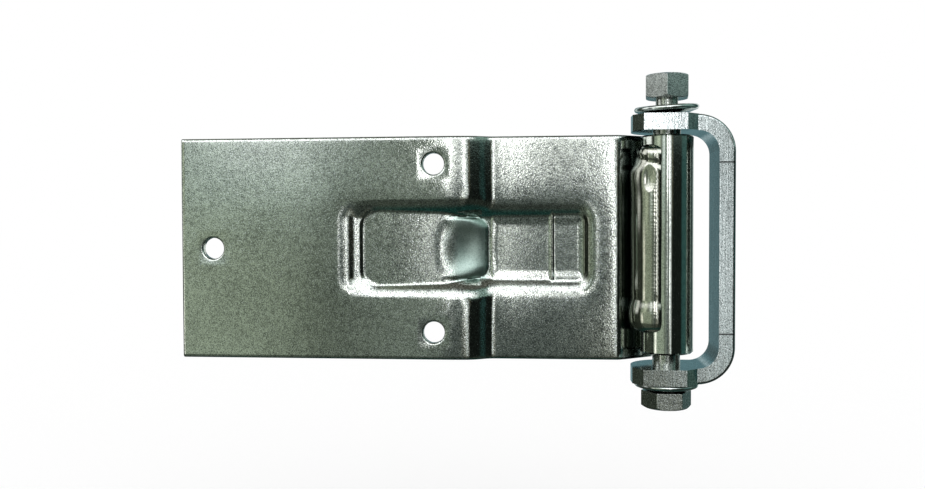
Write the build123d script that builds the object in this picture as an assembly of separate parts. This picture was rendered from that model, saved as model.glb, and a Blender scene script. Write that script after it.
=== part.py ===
"""Offset strap hinge for a box-body door: a pressed strap with a welded barrel turns
on a bolt between the two ears of a C-shaped pivot bracket.

Units are millimetres. +Z is up along the pivot. The origin is the middle of the
bracket's flat outer face, which is welded to the door post; the strap runs towards -X
and its screw face looks towards -Y.
"""

import math
import os

from build123d import *

# Pivot bracket: one flat bar bent into a C, each end upset into an ear with a flat front and cut corners.
# The ear's front outline is given as points beside the pivot axis, from its left side round to the bar.
BAR_THICK = 7.0
BAR_WIDTH = 25.0
EAR_GAP = 102.3
EAR_RADIUS = 15.5
EAR_FRONT_OUTLINE = ((-15.5, 0.0), (-15.4, -7.5), (-11.3, -14.5), (7.0, -14.5), (12.5, -9.0), (12.5, 0.0))
BEND_OUTER_RADIUS = 16.0
AXIS_TO_FACE = 28.0
EAR_HOLE_DIAMETER = 12.1
BAR_EDGE_ROUND = 1.2

# Barrel: a thick tube, shorter than the strap is high
BARREL_DIAMETER = 23.0
BARREL_BORE = 12.1
BARREL_LENGTH = 95.0
BARREL_BELOW_STRAP_TOP = 1.0
BARREL_CHAMFER = 0.8

# Strap: one sheet, pressed and bent
SHEET = 3.0
STRAP_HEIGHT = 100.0
STRAP_REACH = 218.5
STRAP_ABOVE_BRACKET_MIDDLE = 0.55
PLATEAU_BEFORE_AXIS = 0.5
JOGGLE_DEPTH = 5.5
JOGGLE_ANGLE = 38.0
JOGGLE_FROM_AXIS = 85.9
JOGGLE_CONVEX_RADIUS = 8.0
END_BEND_FROM_AXIS = 21.5
END_BEND_RADIUS = 4.5
END_PAST_CONTACT = 2.0
BARREL_SEAT_GAP = 0.02

# Strap holes
HOLE_DIAMETER = 9.5
HOLE_EDGE_ROUND = 1.0
END_HOLE_FROM_EDGE = 15.0
PAIR_HOLES_FROM_END_HOLE = 101.0
PAIR_HOLE_SPACING = 75.0

# Stiffening bead pressed backwards into the strap, across the joggle
BEAD_DEPTH = 3.5
BEAD_WALL_ANGLE = 40.0
BEAD_RIM_ANGLES = (14.0, 27.0, BEAD_WALL_ANGLE)
BEAD_RIM_RADIUS = 8.0
BEAD_FLOOR_WIDTH = 27.0
BEAD_FLOOR_FAR_END = 134.2
BEAD_FLOOR_NEAR_END = 38.2
BEAD_CORNER_RADIUS = 6.0
SCOOP_START = 94.5
SCOOP_END = 78.5
BEAD_STEP_FROM_AXIS = 51.0
BEAD_STEP = 0.8
DRAWING_MARGIN = 30.0

# Weld that joins barrel and strap
WELD_TOP = 44.0
WELD_BOTTOM = -36.5
WELD_TOE_ON_BARREL = 19.0
WELD_TOE_FROM_AXIS = 16.4
WELD_STOP_HEIGHT = 8.0
WELD_STOP_EXTRA = 0.8
WELD_CROWN = 4.6
WELD_LEAN = 50.0
WELD_ROOT_DEPTH = 0.93
WELD_ROOT_ANGLE = 54.0
WELD_SEAT_GAP = 0.02

# Hinge bolt, nut and dished washers
BOLT_DIAMETER = 12.0
NECK_DIAMETER = 9.6
NECK_BELOW_NUT = 3.0
THREAD_DIAMETER = 11.8
HEAD_ACROSS_FLATS = 19.0
HEAD_HEIGHT = 7.5
HEAD_TURN = 2.0
NUT_ACROSS_FLATS = 18.0
NUT_HEIGHT = 10.4
NUT_ABOVE_EAR = 7.5
NUT_TURN = 23.5
HEX_CHAMFER_ANGLE = 28.0
HEX_FACE_SHARE = 0.97
BOLT_END_BELOW_NUT_TOP = 0.6
WASHER_DIAMETER = 28.4
WASHER_HOLE = 13.0
WASHER_THICK = 2.1
WASHER_DISH = 2.0
WASHER_EDGE = 0.5
UPPER_WASHER_TILT = 3.0

# Places that follow from the driving dimensions
AXIS_X = -AXIS_TO_FACE
AXIS_Y = BAR_WIDTH / 2 - EAR_RADIUS
STRAP_Z = STRAP_ABOVE_BRACKET_MIDDLE
EAR_OUTSIDE = EAR_GAP / 2 + BAR_THICK
PLATEAU_Y = -PLATEAU_BEFORE_AXIS
FLAT_Y = PLATEAU_Y - JOGGLE_DEPTH
BEAD_REACH = JOGGLE_DEPTH + BEAD_DEPTH + 1
BARREL_RADIUS = BARREL_DIAMETER / 2
BARREL_TOP = STRAP_Z + STRAP_HEIGHT / 2 - BARREL_BELOW_STRAP_TOP
BARREL_BOTTOM = BARREL_TOP - BARREL_LENGTH
END_HOLE_X = -STRAP_REACH + END_HOLE_FROM_EDGE
PAIR_HOLES_X = END_HOLE_X + PAIR_HOLES_FROM_END_HOLE
NUT_BOTTOM = EAR_OUTSIDE + NUT_ABOVE_EAR
HEAD_TOP = -EAR_OUTSIDE - WASHER_DISH - WASHER_THICK


def beside_axis(shape):
    """Move a shape drawn round the pivot axis to its place beside the weld face."""
    return Pos(AXIS_X, AXIS_Y, 0) * shape


def upright(face, bottom, top):
    """Extrude a face drawn in XY between two heights."""
    return extrude(Pos(0, 0, bottom) * face, top - bottom, dir=(0, 0, 1))


def band_face(front, back, front_radii, back_radii):
    """A closed band between two filleted polylines that run the same way."""
    edges = [
        *FilletPolyline(*front, radius=front_radii).edges(),
        Line(front[-1], back[-1]),
        *FilletPolyline(*back[::-1], radius=back_radii[::-1]).edges(),
        Line(back[0], front[0]),
    ]
    return Face(Wire(edges))


def pivot_bracket():
    """Flat bar bent into a C; each end is upset into an ear, round behind and flat in front."""
    half = EAR_OUTSIDE
    inside = EAR_GAP / 2
    outer = [(AXIS_X, half), (0, half), (0, -half), (AXIS_X, -half)]
    inner = [(AXIS_X, inside), (-BAR_THICK, inside), (-BAR_THICK, -inside), (AXIS_X, -inside)]
    inner_radius = BEND_OUTER_RADIUS - BAR_THICK
    section = band_face(outer, inner, [BEND_OUTER_RADIUS] * 2, [inner_radius] * 2)
    bar = extrude(Plane.XZ * section, BAR_WIDTH / 2, both=True)
    outer_rims = bar.edges().filter_by(
        lambda e: abs(abs(e.center().Y) - BAR_WIDTH / 2) < 0.01 and e.center().X > -BAR_THICK * 0.9
    )
    outer_rims = outer_rims.filter_by(lambda e: e.bounding_box().max.X > -BAR_THICK / 2)
    bar = fillet(outer_rims, BAR_EDGE_ROUND)
    front_part = make_face(Polyline(*EAR_FRONT_OUTLINE, close=True))
    back_part = Circle(EAR_RADIUS) & Rectangle(2 * EAR_RADIUS, EAR_RADIUS, align=(Align.CENTER, Align.MIN))
    for bottom in (inside, -half):
        bar += beside_axis(upright(front_part + back_part, bottom, bottom + BAR_THICK))
    bore = beside_axis(upright(Circle(EAR_HOLE_DIAMETER / 2), -2 * half, 2 * half))
    return bar - bore


def barrel_tube():
    ring = Circle(BARREL_RADIUS) - Circle(BARREL_BORE / 2)
    tube = upright(ring, BARREL_BOTTOM, BARREL_TOP)
    rims = tube.edges().filter_by(GeomType.CIRCLE).filter_by(lambda e: e.radius > BARREL_RADIUS - 0.1)
    return beside_axis(chamfer(rims, BARREL_CHAMFER))


def end_slope():
    """Angle at which the strap's end runs back to touch the barrel from behind."""
    reach = math.hypot(END_BEND_FROM_AXIS, PLATEAU_BEFORE_AXIS)
    return math.asin((BARREL_RADIUS + BARREL_SEAT_GAP) / reach) + math.atan(
        PLATEAU_BEFORE_AXIS / END_BEND_FROM_AXIS
    )


def before_bend(bend_x, surface_y, angle, radius, offset):
    """Everything in front of a level sheet that bends back at one place; offset moves it by a thickness."""
    corner = Vector(bend_x - offset * math.tan(angle / 2), surface_y + offset)
    far = corner + Vector(math.cos(angle), math.sin(angle)) * (2 * DRAWING_MARGIN)
    left = -STRAP_REACH - DRAWING_MARGIN
    clear = surface_y - DRAWING_MARGIN
    surface = FilletPolyline((left, corner.Y), corner, far, radius=radius - offset)
    right = DRAWING_MARGIN
    rest = Polyline(far, (right, far.Y), (right, clear), (left, clear), (left, corner.Y))
    region = Face(Wire([*surface.edges(), *rest.edges()]))
    return upright(region, -STRAP_HEIGHT, STRAP_HEIGHT)


def strap_envelope():
    """The strap's outline seen from above; its right end is cut square, just past the barrel's back."""
    slope = end_slope()
    along = Vector(math.cos(slope), math.sin(slope))
    across = Vector(-math.sin(slope), math.cos(slope))
    end = across * (BARREL_RADIUS + BARREL_SEAT_GAP) + along * END_PAST_CONTACT
    reach = DRAWING_MARGIN * 0.8
    left = -STRAP_REACH
    outline = Polyline((left, -reach), end - across * reach, end + across * reach, (left, reach), close=True)
    return upright(make_face(outline), -STRAP_HEIGHT / 2, STRAP_HEIGHT / 2)


def bead_floor(offset):
    """Everything in front of the bead's floor line, which drops through a scoop at the joggle."""
    far_floor = FLAT_Y + BEAD_DEPTH + offset
    near_floor = PLATEAU_Y + BEAD_DEPTH + offset
    far = -STRAP_REACH - DRAWING_MARGIN
    step = -BEAD_STEP_FROM_AXIS
    open_from = -BEAD_FLOOR_NEAR_END + BEAD_DEPTH
    run = SCOOP_START - SCOOP_END
    scoop_radius = (run**2 + JOGGLE_DEPTH**2) / (2 * JOGGLE_DEPTH)
    turn = math.asin(run / scoop_radius)
    middle = (
        -SCOOP_START + scoop_radius * math.sin(turn / 2),
        far_floor + scoop_radius * (1 - math.cos(turn / 2)),
    )
    clear = FLAT_Y - DRAWING_MARGIN
    edges = [
        Line((far, clear), (far, far_floor)),
        Line((far, far_floor), (-SCOOP_START, far_floor)),
        ThreePointArc((-SCOOP_START, far_floor), middle, (-SCOOP_END, near_floor)),
        Polyline(
            (-SCOOP_END, near_floor), (step, near_floor), (step, near_floor - BEAD_STEP),
            (open_from, near_floor - BEAD_STEP), (open_from, DRAWING_MARGIN),
            (DRAWING_MARGIN, DRAWING_MARGIN), (DRAWING_MARGIN, clear), (far, clear),
        ),
    ]
    region = Face(Wire([edge for part in edges for edge in part.edges()]))
    return upright(region, -STRAP_HEIGHT, STRAP_HEIGHT)


def tapered_pocket(x_from, x_to, floor_half, surface_y, offset, rim_angle):
    """One tapered pocket; its walls touch the rolled rim of the bead at one angle."""
    wall = math.radians(BEAD_WALL_ANGLE)
    rim = math.radians(rim_angle)
    wall_run = BEAD_DEPTH / math.tan(wall)
    widen = wall_run + BEAD_RIM_RADIUS * (math.tan(wall / 2) - math.tan(rim / 2))
    widen += offset * math.tan(rim / 2)
    width = x_to - x_from + 2 * widen
    height = 2 * (floor_half + widen)
    radius = BEAD_CORNER_RADIUS + widen
    plane = Plane(origin=((x_from + x_to) / 2, surface_y + offset, 0), x_dir=(1, 0, 0), z_dir=(0, 1, 0))
    mouth = RectangleRounded(width, height, min(radius, height / 2 - 0.5))
    depth = min(BEAD_REACH, (height / 2 - 1) * math.tan(rim))
    return extrude(plane * mouth, depth, taper=90 - rim_angle)


def bead_pockets(x_from, x_to, surface_y, offset):
    """The bead's channel in one level of the strap, its rim rolled in three flats."""
    half = BEAD_FLOOR_WIDTH / 2
    first, *others = [tapered_pocket(x_from, x_to, half, surface_y, offset, a) for a in BEAD_RIM_ANGLES]
    return first + others


def in_front(offset):
    """Everything in front of the pressed sheet's front (0) or back (sheet thickness).

    The far level ends in the joggle's wall and the near level in the end bend; each has the bead's
    channel, and the sheet lies wherever the nearer of the two levels or the bead's floor is.
    """
    joggle = math.radians(JOGGLE_ANGLE)
    far = before_bend(-JOGGLE_FROM_AXIS, FLAT_Y, joggle, JOGGLE_CONVEX_RADIUS, offset)
    near = before_bend(-END_BEND_FROM_AXIS, PLATEAU_Y, end_slope(), END_BEND_RADIUS, offset)
    far += bead_pockets(-BEAD_FLOOR_FAR_END, 0, FLAT_Y, offset)
    near += bead_pockets(-STRAP_REACH, -BEAD_FLOOR_NEAR_END, PLATEAU_Y, offset)
    return far & near & bead_floor(offset)


def screw_holes():
    """Through holes, flared at the screw face where the punch rounded the sheet."""
    places = [(END_HOLE_X, 0)]
    places += [(PAIR_HOLES_X, side * PAIR_HOLE_SPACING / 2) for side in (-1, 1)]
    radius = HOLE_DIAMETER / 2
    profile = Polyline(
        (0, FLAT_Y - 1), (radius + HOLE_EDGE_ROUND + 1, FLAT_Y - 1), (radius + HOLE_EDGE_ROUND + 1, FLAT_Y),
        (radius + HOLE_EDGE_ROUND, FLAT_Y),
    )
    flare = RadiusArc((radius + HOLE_EDGE_ROUND, FLAT_Y), (radius, FLAT_Y + HOLE_EDGE_ROUND), -HOLE_EDGE_ROUND)
    rest = Polyline((radius, FLAT_Y + HOLE_EDGE_ROUND), (radius, FLAT_Y + SHEET + 1), (0, FLAT_Y + SHEET + 1),
                    (0, FLAT_Y - 1))
    cutter = revolve(Face(Wire([*profile.edges(), *flare.edges(), *rest.edges()])), Axis.Y)
    return [Pos(x, 0, z) * cutter for x, z in places]


def strap_plate():
    sheet = (strap_envelope() & in_front(SHEET)) - in_front(0)
    for hole in screw_holes():
        sheet -= hole
    return beside_axis(Pos(0, 0, STRAP_Z) * sheet)


def weld_section(grow):
    """Bulging fillet between the strap's sloping end and the barrel's left front."""
    toe = math.radians(WELD_TOE_ON_BARREL)
    slope = end_slope()
    on_barrel = Vector(-BARREL_RADIUS * math.sin(toe), -BARREL_RADIUS * math.cos(toe))
    strap_x = -WELD_TOE_FROM_AXIS
    strap_y = PLATEAU_Y + (END_BEND_FROM_AXIS - WELD_TOE_FROM_AXIS) * math.tan(slope)
    on_strap = Vector(strap_x, strap_y)
    lean = math.radians(WELD_LEAN)
    crown = (on_barrel + on_strap) * 0.5 + Vector(-math.sin(lean), -math.cos(lean)) * (WELD_CROWN + grow)
    root_turn = math.radians(WELD_ROOT_ANGLE)
    root = Vector(-math.sin(root_turn), math.cos(root_turn)) * (BARREL_RADIUS * WELD_ROOT_DEPTH)
    face = ThreePointArc(on_strap, crown, on_barrel)
    sides = Polyline(on_barrel, (0, 0), root, on_strap)
    return Face(Wire([*face.edges(), *sides.edges()]))


def barrel_weld(strap, barrel):
    """The weld bead, a little fatter at its lower stop, lying on both pieces."""
    bead = upright(weld_section(0), WELD_BOTTOM, WELD_TOP)
    stop = upright(weld_section(WELD_STOP_EXTRA), WELD_BOTTOM, WELD_BOTTOM + WELD_STOP_HEIGHT)
    bead = beside_axis(bead + stop)
    core = beside_axis(upright(Circle(BARREL_RADIUS + WELD_SEAT_GAP), WELD_BOTTOM - 1, WELD_TOP + 1))
    return bead - core - strap


def hexagon(across_flats, bottom, top, turn, chamfered):
    """A hexagon whose corners are turned off by a cone at the named ends."""
    blank = upright(Rot(0, 0, turn) * RegularPolygon(across_flats / 2, 6, major_radius=False), bottom, top)
    corner = across_flats / math.sqrt(3)
    flat = across_flats / 2 * HEX_FACE_SHARE
    rise = (corner - flat) * math.tan(math.radians(HEX_CHAMFER_ANGLE))
    low = rise if "bottom" in chamfered else 0
    high = rise if "top" in chamfered else 0
    low_radius = flat if low else corner
    high_radius = flat if high else corner
    points = [(0, bottom), (low_radius, bottom), (corner, bottom + low)]
    points += [(corner, top - high), (high_radius, top), (0, top)]
    outline = [p for i, p in enumerate(points) if i == 0 or p != points[i - 1]]
    turned = revolve(Plane.XZ * make_face(Polyline(*outline, close=True)), Axis.Z)
    return blank & turned


def hinge_bolt():
    """Hexagon head below, plain shank, reduced neck and a threaded end inside the nut."""
    neck_from = NUT_BOTTOM - NECK_BELOW_NUT
    end = NUT_BOTTOM + NUT_HEIGHT - BOLT_END_BELOW_NUT_TOP
    head = hexagon(HEAD_ACROSS_FLATS, HEAD_TOP - HEAD_HEIGHT, HEAD_TOP, HEAD_TURN, ("bottom",))
    shank = upright(Circle(BOLT_DIAMETER / 2), HEAD_TOP, neck_from)
    neck = upright(Circle(NECK_DIAMETER / 2), neck_from, NUT_BOTTOM)
    thread = upright(Circle(THREAD_DIAMETER / 2), NUT_BOTTOM, end)
    return beside_axis(head + shank + neck + thread)


def hinge_nut():
    nut = hexagon(NUT_ACROSS_FLATS, NUT_BOTTOM, NUT_BOTTOM + NUT_HEIGHT, NUT_TURN, ("bottom", "top"))
    return beside_axis(nut - upright(Circle(THREAD_DIAMETER / 2), NUT_BOTTOM - 1, NUT_BOTTOM + NUT_HEIGHT + 1))


def dished_washer():
    """A conical washer whose rim stands higher than its hole; z = 0 is its lowest edge."""
    inner = WASHER_HOLE / 2
    outer = WASHER_DIAMETER / 2
    section = Polyline(
        (inner, 0), (outer, WASHER_DISH), (outer, WASHER_DISH + WASHER_THICK), (inner, WASHER_THICK), close=True
    )
    ring = revolve(Plane.XZ * make_face(section), Axis.Z)
    rims = ring.edges().filter_by(GeomType.CIRCLE).filter_by(lambda e: e.radius > outer - 0.1)
    return chamfer(rims, WASHER_EDGE)


def upper_washer():
    """Lies loose on the upper ear, tipped a little, its right side up."""
    lift = WASHER_HOLE / 2 * math.sin(math.radians(UPPER_WASHER_TILT))
    tipped = Rot(0, -UPPER_WASHER_TILT, 0) * dished_washer()
    return beside_axis(Pos(0, 0, EAR_OUTSIDE + lift) * tipped)


def lower_washer():
    """Hangs rim up between the lower ear and the bolt head."""
    return beside_axis(Pos(0, 0, HEAD_TOP) * dished_washer())


os.makedirs("parts", exist_ok=True)
bracket = pivot_bracket()
barrel = barrel_tube()
strap = strap_plate()
nodes = {
    "pivot_bracket": bracket,
    "barrel_tube": barrel,
    "strap_plate": strap,
    "barrel_weld": barrel_weld(strap, barrel),
    "hinge_bolt": hinge_bolt(),
    "hinge_nut": hinge_nut(),
    "upper_washer": upper_washer(),
    "lower_washer": lower_washer(),
}
for name, solid in nodes.items():
    export_step(solid, f"parts/{name}.step")
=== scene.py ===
# %% [markdown]
# # An offset strap hinge
# A pressed strap is welded to a barrel, which turns on a bolt between the ears of a C-shaped
# bracket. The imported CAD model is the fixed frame. Every piece below sits in that frame, in metres:
# +Z up along the pivot, the screw face towards -Y, and the origin in the middle of the bracket's
# weld face.

# %% Load the frame
import math

import bmesh
import bpy
from mathutils import Matrix, Vector


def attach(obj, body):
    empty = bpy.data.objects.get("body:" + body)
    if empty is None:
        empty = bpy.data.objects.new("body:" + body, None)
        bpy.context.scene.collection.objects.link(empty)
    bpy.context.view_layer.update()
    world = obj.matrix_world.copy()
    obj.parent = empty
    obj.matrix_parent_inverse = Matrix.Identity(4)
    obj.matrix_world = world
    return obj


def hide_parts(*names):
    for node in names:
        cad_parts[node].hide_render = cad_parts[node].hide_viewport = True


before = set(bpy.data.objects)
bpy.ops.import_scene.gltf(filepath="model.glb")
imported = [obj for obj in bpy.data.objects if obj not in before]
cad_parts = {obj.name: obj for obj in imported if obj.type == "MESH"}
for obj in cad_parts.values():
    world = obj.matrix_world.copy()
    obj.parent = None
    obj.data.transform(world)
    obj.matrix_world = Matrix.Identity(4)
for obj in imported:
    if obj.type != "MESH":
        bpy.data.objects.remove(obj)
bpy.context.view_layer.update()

MM = 0.001
print("frame nodes:", sorted(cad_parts))

# %% [markdown]
# ## Drawing round the pin
# A hinge maker measures from the pin, because everything turns on it. So each new piece is drawn
# in millimetres round the pivot axis, which stands 28 mm from the weld face, and one helper moves
# the finished drawing into the frame. Metres from the weld face would do as well, but then no
# number here would match a ruler held on the hinge.

# %% Pivot and strap places
AXIS = Vector((-28.0, -3.0, 0.0))
STRAP_Z = 0.55


def into_frame(drawing, lift=STRAP_Z):
    """Move a drawing in millimetres round the pin to its height in the frame, in metres."""
    place = Matrix.Translation(AXIS + Vector((0, 0, lift)))
    bmesh.ops.transform(drawing, matrix=place, verts=drawing.verts)
    bmesh.ops.scale(drawing, vec=(MM, MM, MM), verts=drawing.verts)


print("pivot axis at", [round(v, 4) for v in AXIS * MM])

# %% [markdown]
# ## Keeping a finished mesh
# A piece is drawn as a bmesh. This helper turns its faces outwards, makes the object, shades it
# smooth across soft edges only, ties it to its body, and hides the CAD node it stands for.

# %% From drawing to piece
SOFT_EDGE = math.radians(40)


def keep_piece(drawing, name, body, node):
    bmesh.ops.recalc_face_normals(drawing, faces=drawing.faces[:])
    mesh = bpy.data.meshes.new(name)
    drawing.to_mesh(mesh)
    drawing.free()
    mesh.shade_smooth()
    mesh.set_sharp_from_angle(angle=SOFT_EDGE)
    piece = bpy.data.objects.new(name, mesh)
    bpy.context.scene.collection.objects.link(piece)
    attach(piece, body)
    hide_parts(node)
    print(name, len(mesh.polygons), "faces")
    return piece


print("edges softer than", round(math.degrees(SOFT_EDGE)), "degrees are shaded smooth")

# %% [markdown]
# ## The strap: one pressed sheet
# On the real hinge one 3 mm sheet is pressed in a die: a joggle steps it back, and a long bead
# stiffens it across that joggle. It could be modelled by cutting and filleting a block, but the
# walls of a pressing run into each other softly, so here a flat grid is pushed back by a height
# rule, point by point, as the die pushes the sheet. The rule comes first, and all its lengths are
# millimetres from the pin.

# %% The sheet and its two levels
STRAP_LEFT = -218.5
STRAP_HALF = 50.0
SHEET = 3.0
FLAT_FRONT = -6.0
PLATEAU_FRONT = -0.5
LEVELS_ROLL = 1.3
EDGE_BREAK = 0.9
EDGE_BREAK_SLOPE = 0.8
EDGE_ROLL = 0.17
EDGE_ROLL_RUN = 3.2
print("the plateau lies", PLATEAU_FRONT - FLAT_FRONT, "mm behind the flat")

# %% The joggle, and the end that bends back behind the barrel
JOGGLE_X = -84.5
JOGGLE_SLOPE = math.tan(math.radians(37.5))
JOGGLE_ROLL = 3.3
JOGGLE_BOW = 0.22
JOGGLE_BOW_FROM = 2.3
JOGGLE_BOW_WIDTH = 6.6
LEAD_FROM = -96.2
LEAD_SLOPE = 0.022
END_BEND_X = -20.2
END_SLOPE = math.radians(36.2)
END_ROLL = 1.1
END_X = -4.73
print("joggle at", JOGGLE_X, "and end bend at", END_BEND_X)

# %% The bead's walls
# A shoulder is given as start, slope and softness, each added to the ones before it.
BEAD_HALF = 17.7
BEAD_LEFT = -135.4
BEAD_RIGHT = -33.8
BEAD_LEFT_CORNER = 8.0
BEAD_RIGHT_CORNER = 7.0
BEAD_ROLL = 2.8
BEAD_RIGHT_ROLL = 2.6
WALL_SLOPE = math.tan(math.radians(39))
RIGHT_WALL_STEEPER = 1.4
CROSSING_FILL = 9.0
CROSSING_BLEND = 6.0
SHOULDER = ((-145.4, 0.15, 1.0), (-141.2, 0.21, 0.8), (-138.6, -0.21, 0.8), (-135.0, -0.15, 0.6))
SHOULDER_SHARPER = 2.1
SHOULDER_RUN = 5.0
SHOULDER_SIDE = 4.0
print("bead", BEAD_LEFT, "to", BEAD_RIGHT)

# %% The bead's floor: scoop, cup, step and pad
LEFT_FLOOR = -2.5
RIGHT_FLOOR = 3.0
FLOOR_ROLL = 0.25
FLOOR_GIVE = 3
FLOOR_GIVE_FROM = 1
END_SHALLOW = 0.9
SHALLOW_FROM = -97
SHALLOW_RUN = 36
SCOOP_FROM = -94.5
SCOOP_TO = -78.5
SCOOP_CORNER_FROM = 8.0
SCOOP_CORNER = 5.5
CUP_X = -88.0
CUP_RUN = 7.5
CUP_HALF = 13.0
CUP_DEPTH = 2.3
STEP_X = -50.3
STEP_RISE = 0.5
STEP_RUN = 0.26
RIDGE_RISE = 0.35
RIDGE_RUN = 0.8
PAD_LEFT = -76.8
PAD_RIGHT = -36.0
PAD_HALF = 13.0
PAD_RIM = 0.32
PAD_RIM_RUN = 3.4
PAD_PAST = 2
print("the scoop drops", RIGHT_FLOOR - LEFT_FLOOR, "mm")

# %% [markdown]
# Six small rules of shape serve the whole sheet. Where two surfaces meet, the deeper or the
# shallower one wins, and a softness rounds the corner between them, as the die's own radius does.

# %% Rules of shape


def clamp(value, low=0.0, high=1.0):
    return min(max(value, low), high)


def roll(run, softness, slope=WALL_SLOPE):
    """A wall that starts softly: zero far before the edge, then a straight slope."""
    return slope * (run + math.hypot(run, softness)) / 2


def inside_rounded(from_end, from_side, corner):
    """How far a point lies inside a rounded outline, from its distances to an end and a side."""
    a, b = corner - from_end, corner - from_side
    return corner - math.hypot(a, b) if a > 0 and b > 0 else min(from_end, from_side)


def lower_of(a, b, softness):
    return (a + b - math.hypot(a - b, softness)) / 2


def rounded_upper(a, b, blend):
    """The larger of two, with the corner between them filled over a limited width."""
    return max(a, b) + max(blend - abs(a - b), 0.0) ** 2 / (4 * blend)


def bump_at(value, centre, width):
    return math.exp(-((value - centre) / width) ** 2)


print("a wall 10 mm past its edge is", round(roll(10, BEAD_ROLL), 2), "mm deep")

# %% [markdown]
# The bead's floor starts at the flat's level and drops through a scoop to the plateau's level. The
# press left a rounder cup in the scoop, and a pad with a thin ridge and a dished rim on the right.
# None of them is more than 2.3 mm deep, so each is added to the floor as one more term. Past its
# right end the floor falls away, so that the plateau takes over.

# %% The floor's depth


def scoop_floor(x, z):
    """An arc from one floor level to the other, pulled left towards the bead's walls."""
    past = clamp(abs(z) - SCOOP_CORNER_FROM, 0.0, SCOOP_CORNER)
    pull = SCOOP_CORNER - math.sqrt(max(SCOOP_CORNER**2 - past**2, 0.0))
    run = SCOOP_TO - SCOOP_FROM
    drop = RIGHT_FLOOR - LEFT_FLOOR
    radius = (run**2 + drop**2) / (2 * drop)
    along = clamp(x + pull - SCOOP_FROM, 0.0, run)
    return LEFT_FLOOR + radius - math.sqrt(radius**2 - along**2)


def pad_rise(x, z):
    """How far the right part of the floor stands up: step, ridge and rim."""
    rise = STEP_RISE * (0.5 + 0.5 * math.tanh((x - STEP_X) / STEP_RUN))
    rise += RIDGE_RISE * bump_at(x, STEP_X, RIDGE_RUN)
    if PAD_LEFT < x < PAD_RIGHT + PAD_PAST:
        from_rim = max(min(x - PAD_LEFT, PAD_RIGHT - x, PAD_HALF - abs(z)), 0.0)
        rise += PAD_RIM * max(0.0, 1 - from_rim / PAD_RIM_RUN) ** 2
    return rise


def bead_floor(x, z):
    cup = CUP_DEPTH * max(0.0, 1 - (z / CUP_HALF) ** 2) * bump_at(x, CUP_X, CUP_RUN)
    shallow = END_SHALLOW * clamp((SHALLOW_FROM - x) / SHALLOW_RUN)
    give = FLOOR_GIVE * max(0.0, x - BEAD_RIGHT - FLOOR_GIVE_FROM)
    return scoop_floor(x, z) - pad_rise(x, z) - shallow + cup + give


print("floor left, cup, right:", [round(bead_floor(x, 0), 2) for x in (-120, CUP_X, -60)])

# %% [markdown]
# The left side is the flat, with the bead's left wall and the joggle sunk into it. The right side
# is the plateau, with the bead's right wall and the end bend. Where joggle and bead cross, the real
# sheet can't fold sharply, so the joggle bows towards the bead and the corner is filled.

# %% The screw face's depth


def left_side(x, side):
    left_bead = inside_rounded(x - BEAD_LEFT, side, BEAD_LEFT_CORNER)
    joggle = x - JOGGLE_X + JOGGLE_BOW * clamp(side + JOGGLE_BOW_FROM, 0.0, JOGGLE_BOW_WIDTH) ** 2
    share = clamp(0.5 + (joggle - left_bead) / CROSSING_BLEND)
    softness = BEAD_ROLL + (JOGGLE_ROLL - BEAD_ROLL) * share
    slope = WALL_SLOPE + (JOGGLE_SLOPE - WALL_SLOPE) * share
    in_bead = clamp((side + SHOULDER_SIDE) / (2 * SHOULDER_SIDE))
    softness -= SHOULDER_SHARPER * bump_at(x, BEAD_LEFT, SHOULDER_RUN) * in_bead
    lead = roll(x - LEAD_FROM, 1.0, LEAD_SLOPE)
    lead += in_bead * sum(roll(x - start, soft, rise) for start, rise, soft in SHOULDER)
    return FLAT_FRONT + roll(rounded_upper(left_bead, joggle, CROSSING_FILL), softness, slope) + lead


def right_side(x, side):
    right_bead = inside_rounded((BEAD_RIGHT - x) * RIGHT_WALL_STEEPER, side, BEAD_RIGHT_CORNER)
    end = roll(x - END_BEND_X, END_ROLL, math.tan(END_SLOPE))
    return PLATEAU_FRONT + roll(right_bead, BEAD_RIGHT_ROLL) + end


def sheared_edge(x, z):
    """The sheared edges: a wide soft roll and a narrow broken corner."""
    from_edge = STRAP_HALF - abs(z)
    rolled = EDGE_ROLL * max(0.0, 1 - from_edge / EDGE_ROLL_RUN) ** 2
    broken = max(0.0, EDGE_BREAK - from_edge) + max(0.0, EDGE_BREAK - (x - STRAP_LEFT))
    return rolled + EDGE_BREAK_SLOPE * broken


def strap_front(x, z):
    """Depth of the strap's screw face behind the pin's plane, at a point of the sheet."""
    side = BEAD_HALF - abs(z)
    face = lower_of(left_side(x, side), right_side(x, side), LEVELS_ROLL)
    return lower_of(face, bead_floor(x, z), FLOOR_ROLL) + sheared_edge(x, z)


print("front at flat, plateau:", round(strap_front(-200, 40), 3), round(strap_front(-60, 40), 3))

# %% [markdown]
# A grid operator gives even squares. The bead and the bends need closer ones than the flats, so
# the grid's columns and rows are first slid to uneven places, and then pushed back by the rule.

# %% Grid lines


def marks(*stretches):
    """Grid lines from (start, end, count) stretches that follow each other."""
    lines = [stretches[0][0]]
    for start, end, count in stretches:
        lines += [start + (end - start) * i / count for i in range(1, count + 1)]
    return lines


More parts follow.
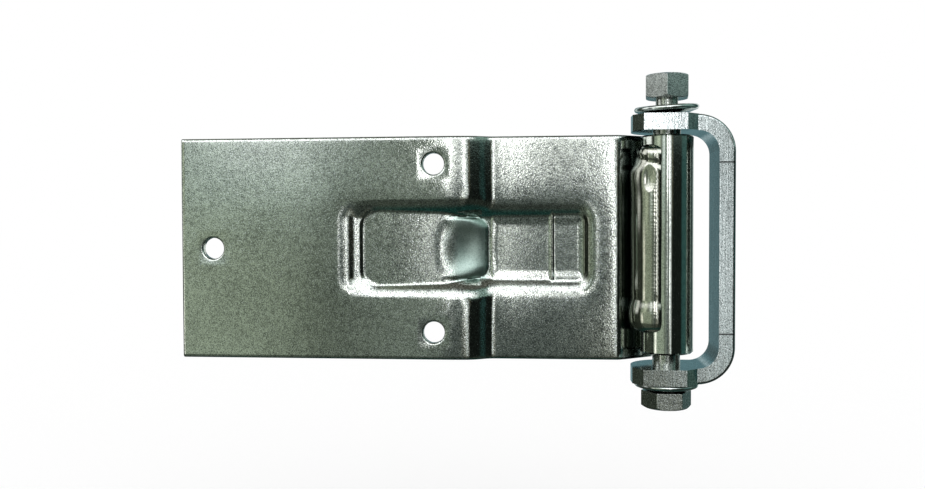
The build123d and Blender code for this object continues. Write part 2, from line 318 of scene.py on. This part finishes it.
STRAP_COLUMNS = marks(
    (STRAP_LEFT, STRAP_LEFT + EDGE_BREAK, 2),
    (STRAP_LEFT + EDGE_BREAK, STRAP_LEFT + 7, 5),
    (STRAP_LEFT + 7, -195.5, 16),
    (-195.5, -144, 36),
    (-144, -110.5, 48),
    (-110.5, -94.5, 22),
    (-94.5, -74, 46),
    (-74, -52.0, 30),
    (-52.0, -48.8, 22),
    (-48.8, -28, 34),
    (-28, END_X, 44),
)
STRAP_ROWS = marks(
    (-STRAP_HALF, EDGE_BREAK - STRAP_HALF, 2),
    (EDGE_BREAK - STRAP_HALF, -45.5, 4),
    (-45.5, -29.5, 18),
    (-29.5, -22, 8),
    (-22, 22, 64),
    (22, 29.5, 8),
    (29.5, 45.5, 18),
    (45.5, STRAP_HALF - EDGE_BREAK, 4),
    (STRAP_HALF - EDGE_BREAK, STRAP_HALF, 2),
)
print(len(STRAP_COLUMNS), "columns,", len(STRAP_ROWS), "rows")

# %% The sheet's front, flat in the die


def slid_grid(columns, rows):
    """A grid from the operator, its lines slid to uneven places; x and z hold the drawing."""
    drawing = bmesh.new()
    across, along = len(columns) - 1, len(rows) - 1
    bmesh.ops.create_grid(drawing, x_segments=across, y_segments=along, size=1)
    for vert in drawing.verts:
        column = round((vert.co.x + 1) / 2 * across)
        row = round((vert.co.y + 1) / 2 * along)
        vert.co = (columns[column], 0, rows[row])
    return drawing


strap = slid_grid(STRAP_COLUMNS, STRAP_ROWS)
print("flat sheet with", len(strap.faces), "squares")

# %% [markdown]
# ## Screw holes
# The strap is screwed to its door through three punched holes. They could be cut with a boolean,
# which leaves slivers on a curved grid. So each hole starts as a square opening in the grid: its
# rim is extruded inwards and set evenly round a circle, and the quads fan out round the hole.

# %% Screw holes
HOLE_RADIUS = 4.75
HOLE_BLOCK = 8.02
HOLE_REACH = HOLE_BLOCK + 2
HOLES = [(-203.5, 0.0), (-102.5, 37.5), (-102.5, -37.5)]


def within(point, centre, reach):
    return abs(point.x - centre[0]) < reach and abs(point.z - centre[1]) < reach


def angle_round(point, centre):
    return math.atan2(point.z - centre[1], point.x - centre[0])


for centre in HOLES:
    block = [f for f in strap.faces if within(f.calc_center_median(), centre, HOLE_BLOCK)]
    bmesh.ops.delete(strap, geom=block, context="FACES")
    opening = [e for e in strap.edges
               if e.is_boundary and all(within(v.co, centre, HOLE_REACH) for v in e.verts)]
    rim = bmesh.ops.extrude_edge_only(strap, edges=opening)["geom"]
    rim = [v for v in rim if isinstance(v, bmesh.types.BMVert)]
    rim.sort(key=lambda v: angle_round(v.co, centre))
    first = angle_round(rim[0].co, centre)
    for i, vert in enumerate(rim):
        turn = first + 2 * math.pi * i / len(rim)
        vert.co = (centre[0] + HOLE_RADIUS * math.cos(turn), 0, centre[1] + HOLE_RADIUS * math.sin(turn))
    print("hole at", centre, "with", len(rim), "points")

# %% [markdown]
# ## The die closes
# A press moves both faces of the sheet together. The back face is the front's copy, moved one sheet
# thickness along the sheet's own slope. The slope is taken over a wide base, so that tight creases
# stay clean behind.

# %% Press the sheet
SLOPE_BASE = 2.0


def sheet_normal(x, z):
    dx = (strap_front(x + SLOPE_BASE, z) - strap_front(x - SLOPE_BASE, z)) / (2 * SLOPE_BASE)
    dz = (strap_front(x, z + SLOPE_BASE) - strap_front(x, z - SLOPE_BASE)) / (2 * SLOPE_BASE)
    return Vector((-dx, 1, -dz)).normalized()


def thickened(drawing):
    """Extrude a whole sheet where it lies, and return the points of the new side."""
    copied = bmesh.ops.extrude_face_region(drawing, geom=drawing.faces[:], use_keep_orig=True)["geom"]
    return {v for v in copied if isinstance(v, bmesh.types.BMVert)}


back = thickened(strap)
for vert in strap.verts:
    x, z = vert.co.x, vert.co.z
    vert.co.y = strap_front(x, z)
    if vert in back:
        vert.co += sheet_normal(x, z) * SHEET
print("pressed", len(strap.verts), "points")

# %% [markdown]
# ## Rims and edges
# The punch pulls the sheet in round each hole, and the shear leaves the outline a little blunt.
# Both catch a line of light. A bevel on the sharp loops gives them at their real width: wide on the
# screw side of the holes, narrow along the outline.

# %% Roll the sheared edges and the hole rims
RIM_WIDTH = 1.0
OUTLINE_WIDTH = 0.5
RIGHT_ANGLED = math.radians(60)


def near_hole(point):
    return any(math.hypot(point.x - x, point.z - z) < HOLE_RADIUS + 0.1 for x, z in HOLES)


def bevel_loop(drawing, width, segments, wanted):
    """Bevel the edges where a wall meets a face and whose middle is wanted."""
    loop = [e for e in drawing.edges
            if len(e.link_faces) == 2 and e.calc_face_angle() > RIGHT_ANGLED
            and wanted((e.verts[0].co + e.verts[1].co) / 2)]
    bmesh.ops.bevel(drawing, geom=loop, offset=width, offset_type="OFFSET", affect="EDGES",
                    segments=segments, profile=0.5, material=-1, clamp_overlap=False)
    print("bevelled", len(loop), "edges by", width, "mm")


bmesh.ops.recalc_face_normals(strap, faces=strap.faces[:])
bevel_loop(strap, RIM_WIDTH, 5, lambda middle: near_hole(middle) and middle.y < FLAT_FRONT + 1)
bevel_loop(strap, OUTLINE_WIDTH, 3, lambda middle: not near_hole(middle))
into_frame(strap)
strap_sheet = keep_piece(strap, "strap_sheet", "strap", "strap_plate")

# %% [markdown]
# ## The weld that holds strap and barrel
# The real weld is one pass from top to bottom: it starts with two short lobes and a crater, runs
# down in fine ripples and stops in a fat end. A spun or extruded bar would look like putty, so a
# grid is bent over the gap and its bulge follows the welder's pass.

# %% The weld's dimensions
WELD_TOP = 45.2
WELD_BOTTOM = -37.0
WELD_CENTRE = Vector((-5.6, -1.5, 0.0))
WELD_RADIUS = 10.3
WELD_FROM = math.radians(-122)
WELD_TO = math.radians(10)
WELD_END_RUN = 5.0
WELD_TUCK = 4.6
print("weld arc", round(WELD_RADIUS * (WELD_TO - WELD_FROM), 1), "mm wide")

# %% What the torch left: heights and runs along the bead, then how much
UPPER_GROOVE = (36.4, 1.5, 0.45)
UPPER_GROOVE_LEAN = 0.25
LOWER_GROOVE = (-22.6, 2.4, 0.3)
STOP = (-29.5, 5.0, 0.35)
STOP_ON_TOE = (-29.5, 6.0, 0.5)
CRATER_SWELL = (30.0, 6.0, 0.4)
CRATER = (30.2, 6.0, 0.75)
CRATER_ACROSS = (-3.2, 2.8)
TOE_FROM, TOE_RUN = 20, 40
TOP_LOBE_SINK, TOP_LOBE_Z, TOP_LOBE_BLEND = 1.9, 35.6, 0.9
WAVE, WAVE_TURN = 0.10, 0.17
RIPPLE, RIPPLE_PITCH = 0.013, 1.7
RIPPLE_WANDER, RIPPLE_WANDER_TURN = 2.2, 0.7
RIPPLE_BOW, RIPPLE_BOW_MIDDLE = 0.10, -2.0
RIPPLE_ACROSS = (-0.5, 2.0)
print("crater", CRATER[2], "mm deep at height", CRATER[0])

# %% The pass of the torch


def swell(z, feature):
    """A swelling along the bead, from its height, run and size."""
    height, run, size = feature
    return size * bump_at(z, height, run)


def tucked_ends(z):
    """1 along the bead, falling to 0 in a quarter circle at both ends."""
    fullness = 1.0
    for gap in (WELD_TOP - z, z - WELD_BOTTOM):
        fullness *= math.sqrt(1 - (1 - clamp(gap / WELD_END_RUN)) ** 2)
    return fullness


def ripple(across, z):
    """Fine bowed ripples, only under the highlight, at a pitch that wanders."""
    arc = z + RIPPLE_BOW * (across - RIPPLE_BOW_MIDDLE) ** 2
    wander = RIPPLE_WANDER * math.sin(z * RIPPLE_WANDER_TURN)
    return RIPPLE * math.sin(arc * 2 * math.pi / RIPPLE_PITCH + wander) * bump_at(across, *RIPPLE_ACROSS)


def crater(across, z):
    middle, run, depth = CRATER
    across_middle, across_run = CRATER_ACROSS
    return depth * max(0.0, 1 - ((z - middle) / run) ** 2 - ((across - across_middle) / across_run) ** 2)


def weld_radius(turn, z):
    """How far the bead's skin stands from its own middle, at a turn from the front and a height."""
    across = turn * WELD_RADIUS
    on_toe = clamp((-math.degrees(turn) - TOE_FROM) / TOE_RUN)
    radius = WELD_RADIUS - WELD_TUCK * (1 - tucked_ends(z))
    radius -= swell(z + UPPER_GROOVE_LEAN * across, UPPER_GROOVE) + swell(z, LOWER_GROOVE)
    radius -= TOP_LOBE_SINK * on_toe / (1 + math.exp((TOP_LOBE_Z - z) / TOP_LOBE_BLEND))
    radius += swell(z, STOP) + on_toe * (swell(z, STOP_ON_TOE) + swell(z, CRATER_SWELL))
    radius += WAVE * math.sin(z * WAVE_TURN) + ripple(across, z)
    return radius - crater(across, z)


print("weld radius in the middle", round(weld_radius(0, 0), 2), "mm")

# %% Bend the grid over the gap
ACROSS = 54
ALONG = 260
weld = slid_grid(marks((0, 1, ACROSS)), marks((WELD_BOTTOM, WELD_TOP, ALONG)))
buried = thickened(weld)
for vert in weld.verts:
    turn = WELD_FROM + (WELD_TO - WELD_FROM) * vert.co.x
    z = vert.co.z
    radius = WELD_RADIUS - WELD_TUCK - 1 if vert in buried else weld_radius(turn, z)
    vert.co = WELD_CENTRE + Vector((math.sin(turn), -math.cos(turn), 0)) * radius + Vector((0, 0, z))
into_frame(weld)
weld_bead = keep_piece(weld, "weld_bead", "strap", "barrel_weld")

# %% [markdown]
# ## Hardware with broken edges
# The bracket, bolt and nut have the right shapes in the CAD model, but their edges are knife
# sharp, and a real edge is always broken a little, so it catches a thin line of light. The CAD
# mesh itself stays as it is: a copy is merged, its flat triangles are joined, and its edges are
# bevelled. Normals are weighted by area, so that the flats stay flat right up to the bevel.

# %% Break the edges of a copy
EDGE_TO_BREAK = math.radians(20)
FLAT_ENOUGH = math.radians(0.6)
SAME_POINT = 2e-6


def broken_edges(node, name, body, width, segments):
    drawing = bmesh.new()
    drawing.from_mesh(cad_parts[node].data)
    bmesh.ops.remove_doubles(drawing, verts=drawing.verts, dist=SAME_POINT)
    bmesh.ops.dissolve_limit(drawing, angle_limit=FLAT_ENOUGH, verts=drawing.verts, edges=drawing.edges)
    sharp = [e for e in drawing.edges if len(e.link_faces) == 2 and e.calc_face_angle() > EDGE_TO_BREAK]
    bmesh.ops.bevel(drawing, geom=sharp, offset=width * MM, offset_type="OFFSET", affect="EDGES",
                    segments=segments, profile=0.5, material=-1, clamp_overlap=True)
    piece = keep_piece(drawing, name, body, node)
    weighted = piece.modifiers.new("even_flats", "WEIGHTED_NORMAL")
    weighted.keep_sharp = True
    return piece


bracket_bar = broken_edges("pivot_bracket", "bracket_bar", "bracket", 1.1, 4)
bolt_body = broken_edges("hinge_bolt", "bolt_body", "bolt", 0.5, 5)
nut_body = broken_edges("hinge_nut", "nut_body", "bolt", 0.6, 5)

# %% [markdown]
# ## Dished washers
# A washer punched from sheet has rolled rims and a cone's slope. Its section is a short row of
# points; one spin round the pivot makes the ring, and the upper one is tipped as it lies loose.
# A tipped ring has to be lifted by what its low side would sink.

# %% Spin the washers
WASHER_RIM = 13.9
WASHER_HOLE = 6.5
WASHER_THICK = 2.3
WASHER_DISH = 1.7
RIM_STEPS = 8
SPIN_STEPS = 96
UPPER_SEAT = 58.15
UPPER_TILT, UPPER_NOD = -3, 3.5
UPPER_LIFT = WASHER_HOLE * math.sin(math.radians(4.6))
LOWER_SEAT = -62.25


def washer_section():
    """Points of the section from the hole round the rim, with z up from its lowest edge."""
    points = []
    slope = math.atan2(WASHER_DISH, WASHER_RIM - WASHER_HOLE)
    half = WASHER_THICK / 2
    for radius_at, lift, start in ((WASHER_RIM, WASHER_DISH, -90), (WASHER_HOLE, 0.0, 90)):
        inward = half if start < 0 else -half
        for i in range(RIM_STEPS + 1):
            turn = math.radians(start + 180 * i / RIM_STEPS) + slope
            points.append(Vector((radius_at - inward + half * math.cos(turn), 0,
                                  lift + half + half * math.sin(turn))))
    return points


def spun_washer(name, node, seat, tilt=0, nod=0):
    drawing = bmesh.new()
    section = [drawing.verts.new(p) for p in washer_section()]
    edges = [drawing.edges.new((a, b)) for a, b in zip(section, section[1:] + section[:1])]
    bmesh.ops.spin(drawing, geom=section + edges, cent=(0, 0, 0), axis=(0, 0, 1), angle=2 * math.pi,
                   steps=SPIN_STEPS, use_merge=True)
    bmesh.ops.remove_doubles(drawing, verts=drawing.verts, dist=1e-4)
    tipped = Matrix.Rotation(math.radians(tilt), 4, "Y") @ Matrix.Rotation(math.radians(nod), 4, "X")
    bmesh.ops.transform(drawing, matrix=tipped, verts=drawing.verts)
    into_frame(drawing, seat)
    return keep_piece(drawing, name, "bracket", node)


upper_ring = spun_washer("upper_ring", "upper_washer", UPPER_SEAT + UPPER_LIFT, UPPER_TILT, UPPER_NOD)
lower_ring = spun_washer("lower_ring", "lower_washer", LOWER_SEAT)

# %% [markdown]
# ## Shader helpers
# Zinc needs a dozen small sums of noise. Written as nodes by hand they would fill pages, so one
# small class wraps a socket: + - * / add Math nodes, and make() adds any other node.

# %% One class for sockets


class Wire:
    """A node socket that does sums. One without a socket only starts a tree's first node."""

    def __init__(self, tree, socket=None):
        self.tree, self.socket = tree, socket

    def make(self, kind, settings=(), out=0, **inputs):
        node = self.tree.nodes.new(kind)
        for key, value in dict(settings).items():
            setattr(node, key, value)
        for key, value in inputs.items():
            name = key.replace("_", " ")
            slot = node.inputs[int(key[1:])] if key[0] == "i" and key[1:].isdigit() else node.inputs[name]
            if isinstance(value, Wire):
                self.tree.links.new(value.socket, slot)
            else:
                slot.default_value = value
        return Wire(self.tree, node.outputs[out] if len(node.outputs) else None)

    def math(self, operation, *values):
        inputs = {f"i{i}": v for i, v in enumerate(values)}
        return self.make("ShaderNodeMath", {"operation": operation}, **inputs)

    def __add__(self, other):
        return self.math("ADD", self, other)

    def __sub__(self, other):
        return self.math("SUBTRACT", self, other)

    def __rsub__(self, other):
        return self.math("SUBTRACT", other, self)

    def __mul__(self, other):
        return self.math("MULTIPLY", self, other)

    def __truediv__(self, other):
        return self.math("DIVIDE", self, other)

    __radd__ = __add__
    __rmul__ = __mul__

    def ramp(self, low, high):
        """0 below low, 1 above high, a straight line between."""
        return self.make("ShaderNodeMapRange", {"clamp": True}, Value=self, From_Min=low, From_Max=high)

    def between(self, rise, fall):
        """1 from the end of rise to the start of fall, 0 outside both."""
        return self.ramp(*rise) * (1 - self.ramp(*fall))

    def mix(self, a, b):
        """Colour a where this is 0, colour b where it is 1."""
        return self.make("ShaderNodeMix", {"data_type": "RGBA"}, out=2, i0=self, i6=a, i7=b)

    def noise(self, scale, detail=0.0, roughness=0.5, stretch=(1, 1, 1)):
        """Noise on this position, squeezed by stretch."""
        place = self.make("ShaderNodeVectorMath", {"operation": "MULTIPLY"}, i0=self, i1=stretch)
        return place.make("ShaderNodeTexNoise", Vector=place, Scale=scale, Detail=detail, Roughness=roughness)

    def split(self):
        first = self.make("ShaderNodeSeparateXYZ", i0=self)
        return [Wire(self.tree, s) for s in first.socket.node.outputs]


print("shader helpers ready")

# %% [markdown]
# ## Zinc plate
# Bright zinc is a thin pale metal over the steel's own skin: it reflects like polished metal,
# broken by the grain of the steel below. Rolled sheet has fine orange peel, drawn tube has long
# streaks, the bracket's hot-worked bar is rougher, and bought bolts are dull. A painted texture
# would need unwrapping and would blur close up, so one recipe of noises, with a few numbers for
# each finish, serves them all. Dark pits and bright specks are the two ends of the grain.

# %% The grain of the plate
PIT = (0.10, 0.12, 0.12, 1)
SPECK = (0.94, 0.96, 0.98, 1)


def plate(place, tone, grain, peel, streak, gloss):
    """Colour, roughness and relief of plated steel, from a place on the object."""
    fine = place.noise(2500)
    grit = place.noise(1300)
    specks = place.noise(2300).ramp(0.62, 0.70)
    pits = place.noise(1900).ramp(0.60, 0.68)
    mottle = place.noise(420, 1.0, 0.6)
    cloud = place.noise(38, 3.0, 0.55)
    lines = place.noise(1500, 2.0, 0.55, (1, 1, 0.03))
    spread = min(1.0, 0.3 + 0.7 * grain)
    dark = tuple(c * (1 - 0.5 * spread) for c in tone) + (1,)
    light = tuple(min(1.0, c * (1 + 0.3 * spread)) for c in tone) + (1,)
    shade = (mottle * 0.4 + fine * 0.7 + cloud * 0.3 + lines * 0.8 * streak) / (1.4 + 0.8 * streak)
    colour = shade.ramp(0.36, 0.64).mix(dark, light)
    colour = (pits * 0.75 * grain).mix(colour, PIT)
    colour = (specks * 0.9 * grain).mix(colour, SPECK)
    rough = gloss + (mottle - 0.5) * 0.06 + (cloud - 0.5) * 0.05
    relief = fine * 1.3 * grain + grit * 0.9 * grain + mottle * 0.5 * peel + lines * 2.0 * streak
    return colour, rough, relief


print("grain ready")

# %% [markdown]
# Some marks belong to one place. Little light reaches the recess beside the barrel and the foot of
# the bead's right wall, so painted shade darkens them. The scoop holds a painted soft highlight, a
# pale spot. Two dark lines, whose cause isn't known, cross the bracket's front. All of them are
# only painted: masks on the object's own position darken or lighten the colour, and they stay put
# when the hinge turns.

# %% Marks that belong to a place, in metres of the frame
# Places and tints of the painted shade, the painted highlight and the two dark lines
IN_BEAD = ((-0.0155, -0.0130), (0.0140, 0.0165))
BARREL_SHADE = ((-0.0485, -0.0455), (-0.0400, -0.0385))
BARREL_SHADE_DEPTH = (-0.0135, -0.0085)
WALL_FOOT_SHADE = ((-0.0648, -0.0640), (-0.0625, -0.0590))
SCOOP_HIGHLIGHT = ((-0.1265, -0.1195), (-0.1085, -0.1058))
BAR_SIDE = (-0.0140, -0.0130)
BAR_FRONT = (-0.0122, -0.0118)
MARK_EDGE, MARK_CORE = 0.0005, 0.0001
FOOT_SHADE_TINT = (0.12, 0.13, 0.10, 1)
BARREL_SHADE_TINT = (0.03, 0.05, 0.045, 1)
SCOOP_HIGHLIGHT_TINT = (0.50, 0.66, 0.60, 1)
MARK_TINT = (0.03, 0.03, 0.03, 1)


def strap_shade_and_highlight(place, colour, rough, painted_light):
    """Painted shade in the recesses and a painted soft highlight in the scoop, on the strap and its weld."""
    east, north, height = place.split()
    in_bead = height.between(*IN_BEAD)
    # painted shade at the foot of the bead's right wall, a recess that little light reaches
    foot_shade = east.between(*WALL_FOOT_SHADE) * in_bead
    # painted shade in the recess between the strap's end and the barrel, where little light reaches
    barrel_shade = east.between(*BARREL_SHADE) * north.ramp(*BARREL_SHADE_DEPTH)
    # a painted soft highlight in the scoop: a pale spot, also made rougher
    scoop_highlight = east.between(*SCOOP_HIGHLIGHT) * in_bead
    colour = (foot_shade * painted_light).mix(colour, FOOT_SHADE_TINT)
    colour = (barrel_shade * painted_light).mix(colour, BARREL_SHADE_TINT)
    colour = (scoop_highlight * painted_light * 0.8).mix(colour, SCOOP_HIGHLIGHT_TINT)
    return colour, rough + scoop_highlight * 0.28 * painted_light


def dark_line(place, colour, level):
    """A dark line across the bracket's front, at a height."""
    east, north, height = place.split()
    line = height.between((level - MARK_EDGE, level - MARK_CORE), (level + MARK_CORE, level + MARK_EDGE))
    front = east.ramp(*BAR_SIDE) * (1 - north.ramp(*BAR_FRONT))
    return (line * front).mix(colour, MARK_TINT)


print("marks ready")

# %% The zinc recipe
GRAIN_HEIGHT = 0.000010


def zinc(name, tone, grain=1.0, peel=1.0, streak=0.0, gloss=0.25, painted_light=0.0, marks_at=()):
    material = bpy.data.materials.new(name)
    material.use_nodes = True
    tree = material.node_tree
    shader = tree.nodes["Principled BSDF"]
    place = Wire(tree).make("ShaderNodeTexCoord", out="Object")
    colour, rough, relief = plate(place, tone, grain, peel, streak, gloss)
    # painted shade in the recesses and a painted soft highlight in the scoop, on the strap and weld only
    if painted_light:
        colour, rough = strap_shade_and_highlight(place, colour, rough, painted_light)
    for level in marks_at:
        colour = dark_line(place, colour, level)
    bump = relief.make("ShaderNodeBump", Height=relief, Strength=1.0, Distance=GRAIN_HEIGHT)
    tree.links.new(colour.socket, shader.inputs["Base Color"])
    tree.links.new(rough.socket, shader.inputs["Roughness"])
    tree.links.new(bump.socket, shader.inputs["Normal"])
    shader.inputs["Metallic"].default_value = 1.0
    print("finish", name)
    return material


def finish(piece, material):
    piece.data.materials.clear()
    piece.data.materials.append(material)


DARK_LINE_HEIGHTS = (0.0374, -0.0362)
# the strap and weld carry painted shade and a painted highlight, at the strength given last
finish(strap_sheet, zinc("zinc_sheet", (0.62, 0.65, 0.60), gloss=0.09, painted_light=0.85))
finish(weld_bead, zinc("zinc_weld", (0.56, 0.56, 0.49), grain=0.25, peel=0.4, gloss=0.09, painted_light=0.8))
finish(bracket_bar, zinc("zinc_bar", (0.62, 0.67, 0.67), grain=0.9, peel=0.7, streak=0.8, gloss=0.10,
                         marks_at=DARK_LINE_HEIGHTS))
finish(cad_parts["barrel_tube"],
       zinc("zinc_tube", (0.72, 0.75, 0.70), grain=0.35, peel=0.1, streak=0.15, gloss=0.08))
finish(bolt_body, zinc("zinc_bolt", (0.50, 0.52, 0.48), grain=0.9, gloss=0.20))
finish(nut_body, zinc("zinc_nut", (0.66, 0.69, 0.68), grain=0.8, gloss=0.26))
for ring in (upper_ring, lower_ring):
    finish(ring, zinc("zinc_" + ring.name, (0.74, 0.78, 0.76), grain=0.25, peel=0.4, gloss=0.11))

# %% [markdown]
# ## Studio floor and light
# The hinge was photographed on a white ground under soft light. A matt white floor and a plain
# white world give both. The floor isn't seen by reflections, because the room below takes its place.

# %% Floor and world
FLOOR_Z = -0.16
FLOOR_HALF = 12
WHITE = (1, 1, 1, 1)


def stage_piece(drawing, name, material):
    """Make an object from a drawing, with one material and tied to no body of the hinge."""
    mesh = bpy.data.meshes.new(name)
    drawing.to_mesh(mesh)
    drawing.free()
    mesh.materials.append(material)
    piece = bpy.data.objects.new(name, mesh)
    bpy.context.scene.collection.objects.link(piece)
    return piece


floor_paint = bpy.data.materials.new("floor_paint")
floor_paint.use_nodes = True
matte = floor_paint.node_tree.nodes["Principled BSDF"]
matte.inputs["Base Color"].default_value = WHITE
matte.inputs["Roughness"].default_value = 1.0
matte.inputs["Specular IOR Level"].default_value = 0.0

ground = bmesh.new()
bmesh.ops.create_grid(ground, x_segments=2, y_segments=2, size=FLOOR_HALF)
bmesh.ops.translate(ground, vec=(0, 0, FLOOR_Z), verts=ground.verts)
floor = stage_piece(ground, "studio_floor", floor_paint)
floor.visible_glossy = False

world = bpy.data.worlds.new("studio_world")
bpy.context.scene.world = world
world.use_nodes = True
world.node_tree.nodes["Background"].inputs["Color"].default_value = WHITE
print("floor laid and world lit")

# %% [markdown]
# ## The room that the metal mirrors
# Polished metal has hardly any colour of its own: it shows the room. The real room isn't in the
# photograph, so this one is worked back from what the metal shows: bright windows in front, dark
# gaps beside them, an olive wall on the left and a teal one on the right. The two windows behind
# are an addition, which lights the hinge's back in other views. Lamps of those shapes would also
# light the floor, so a large sphere that only reflections see is painted by direction. Azimuth 0 is
# straight ahead of the screw face, and positive azimuths turn towards the bracket.

# %% Paint by direction
paint = bpy.data.materials.new("room_paint")
paint.use_nodes = True
paint.cycles.emission_sampling = "NONE"
tree = paint.node_tree
tree.nodes.clear()
place = Wire(tree).make("ShaderNodeTexCoord", out="Object")
direction = place.make("ShaderNodeVectorMath", {"operation": "NORMALIZE"}, i0=place)
east, north, high = direction.split()
DEGREES = 180 / math.pi
azimuth = east.math("ARCTAN2", east, -1 * north) * DEGREES
height = east.math("ARCSINE", high) * DEGREES


def band(value, low, high, soft):
    """1 between low and high degrees, falling off softly outside."""
    return value.between((low - soft, low + soft), (high - soft, high + soft))


print("azimuth and height ready")

# %% The room's walls and windows
# Each row paints over the ones before it: tint, azimuths and their softness, heights and theirs.
ALL = (-100, 100)
ROOM = (
    # olive wall on the left, dimmer towards the front
    ((0.34, 0.40, 0.31), (-62, -15), 4, ALL, 1),
    ((0.22, 0.26, 0.22), (-13, -3), 3, ALL, 1),
    ((0.11, 0.13, 0.12), (-6, 6), 2, (-100, 1.5), 3),
    ((0.26, 0.27, 0.23), (4, 15), 1.5, (-100, 0), 4),
    ((0.20, 0.23, 0.22), (-4.6, 3), 1.0, (-4.5, 100), 1.5),
    ((1.8, 1.85, 1.8), (-4.6, -3.3), 0.5, (-5.0, 100), 1.2),
    ((0.13, 0.13, 0.09), (9, 20), 2, (1, 100), 3),
    ((0.90, 0.97, 0.97), (9.5, 13), 1.2, (-12, 100), 3),
    # far left: a thin dim wall, a bright strip low down, windows higher up
    ((0.05, 0.06, 0.045), (-130, -68), 5, ALL, 1),
    ((1.5, 1.5, 1.35), (-58, -50), 3, (-16, -2), 4),
    ((0.66, 0.74, 0.58), (-47, -36), 4, (0, 40), 4),
    ((0.20, 0.22, 0.19), (-31, -25), 2, (1, 30), 2),
    ((1.25, 1.28, 1.25), (-104, -76), 5, (1, 40), 3),
    # soft lamp over the left flat, and the windows in front
    ((0.52, 0.62, 0.56), (-26, -13.5), 3, (0.5, 40), 2),
    ((1.05, 1.12, 1.10), (-21.5, -15), 2.5, (3.6, 40), 1.4),
    ((4.6, 4.62, 4.6), (-5.0, -2.2), 0.8, (2.2, 36), 1.8),
    ((1.0, 1.04, 1.02), (-1.4, 3), 0.9, (2.6, 36), 1.6),
    ((3.2, 3.25, 3.25), (4.0, 7.7), 0.8, (1.0, 36), 1.5),
    ((2.8, 2.85, 2.85), (6.0, 8.2), 0.8, (-6.5, 2), 1.5),
    # teal wall on the right, with a lighter part above it
    ((0.02, 0.055, 0.05), (60, 130), 4, ALL, 1),
    ((0.035, 0.09, 0.085), (62, 86), 4, ALL, 1),
    ((0.26, 0.38, 0.34), (16, 110), 8, (8, 60), 4),
    ((0.07, 0.12, 0.10), (84, 132), 5, (-60, -2), 5),
    # behind the hinge: blue-green ground, two windows and their dark and light edges
    ((0.12, 0.22, 0.24), (136, 200), 10, ALL, 1),
    ((0.12, 0.22, 0.24), (-200, -134), 10, ALL, 1),
    ((0.85, 0.90, 0.86), (143, 164), 4, (-30, 60), 10),
    ((0.60, 0.66, 0.62), (-158, -141), 4, (-30, 60), 10),
    ((0.07, 0.10, 0.10), (-169, -163), 2, ALL, 1),
    ((0.36, 0.48, 0.50), (-179, -174), 2, ALL, 1),
)
colour = (0.010, 0.013, 0.011, 1)
for tint, across, soft, up, up_soft in ROOM:
    colour = (band(azimuth, *across, soft) * band(height, *up, up_soft)).mix(colour, (*tint, 1))
print("painted", len(ROOM), "walls and windows")

# %% Ceiling lamp, ceiling and ground
ceiling_lamp = band(height, 16, 46, 8) * band(azimuth, -70, 38, 14)
colour = (ceiling_lamp * 0.85).mix(colour, (2.4, 2.45, 2.5, 1))
colour = height.ramp(50, 66).mix(colour, (0.14, 0.14, 0.12, 1))
colour = ((1 - height.ramp(-24, -12)) * 0.8).mix(colour, (0.03, 0.038, 0.03, 1))
colour = (1 - height.ramp(-66, -46)).mix(colour, (0.012, 0.045, 0.038, 1))
glow = colour.make("ShaderNodeEmission", Color=colour)
glow.make("ShaderNodeOutputMaterial", Surface=glow)
print("room painted with", len(tree.nodes), "nodes")

# %% The sphere that carries the paint
ROOM_RADIUS = 30.0
shell = bmesh.new()
bmesh.ops.create_uvsphere(shell, u_segments=48, v_segments=24, radius=ROOM_RADIUS)
bmesh.ops.reverse_faces(shell, faces=shell.faces[:])
room_wall = stage_piece(shell, "studio_room", paint)
room_wall.visible_camera = False
room_wall.visible_diffuse = False
room_wall.visible_shadow = False
room_wall.visible_transmission = False
print("room", ROOM_RADIUS, "m in radius")

# %% [markdown]
# ## Camera
# The place, turn and focal length come from a fit to edges of the photograph, at 400 mm from the
# strap. The turn is given as yaw, pitch and tip in degrees, and the directions of the camera's own
# axes are built from them; the tip sets which way the picture is level.

# %% Camera
CAMERA_PLACE = Vector((-79.31, -403.0, 13.64))
CAMERA_TURNS = (-5.539, 1.649, -0.208)
camera_data = bpy.data.cameras.new("photo_camera")
camera = bpy.data.objects.new("photo_camera", camera_data)
bpy.context.scene.collection.objects.link(camera)
camera_data.lens = 34.81
camera_data.sensor_width = 36.0
camera_data.sensor_fit = "HORIZONTAL"
camera_data.clip_start = 0.01
camera_data.clip_end = 100
yaw, pitch, tip = (math.radians(a) for a in CAMERA_TURNS)
forward = Vector((math.sin(yaw) * math.cos(pitch), math.cos(yaw) * math.cos(pitch), -math.sin(pitch)))
level = Vector((math.cos(yaw), -math.sin(yaw), 0))
upward = level.cross(forward)
right = level * math.cos(tip) + upward * math.sin(tip)
up = upward * math.cos(tip) - level * math.sin(tip)
turned = Matrix((right, up, -forward)).transposed().to_4x4()
camera.matrix_world = Matrix.Translation(CAMERA_PLACE * MM) @ turned
bpy.context.scene.camera = camera
bpy.context.scene.view_settings.view_transform = "Standard"
print("camera at", [round(v, 3) for v in camera.location])
